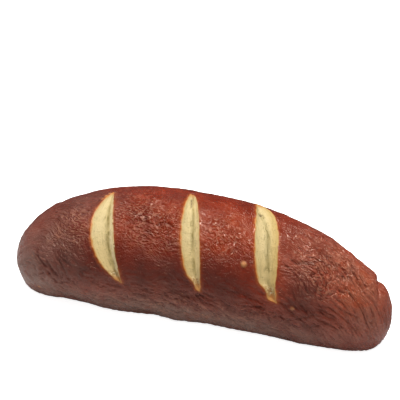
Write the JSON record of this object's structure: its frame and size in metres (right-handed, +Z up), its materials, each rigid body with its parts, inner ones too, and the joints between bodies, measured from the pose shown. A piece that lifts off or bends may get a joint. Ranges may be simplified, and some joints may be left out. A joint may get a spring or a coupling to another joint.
{
  "type": "pretzel roll",
  "caption": "Long bowed pretzel roll with a dark glossy wrinkled crust, rounded ends, a flat underside and three slanting score cuts across its crown.",
  "frame": {"origin": "on the surface the roll lies on, under the middle of the roll's bounding box", "axes": "+X along the roll towards its slimmer end, +Z up through the crown, -Y towards the inside of the bow, where the score cuts run down the front flank"},
  "size_m": [0.175, 0.0654, 0.046],
  "materials": {
    "crust": "satin-gloss mahogany brown lye crust, wrinkled, with pale cream crumb in the three score cuts"
  },
  "bodies": {
    "root": {"roll": "crust"}
  },
  "joints": []
}
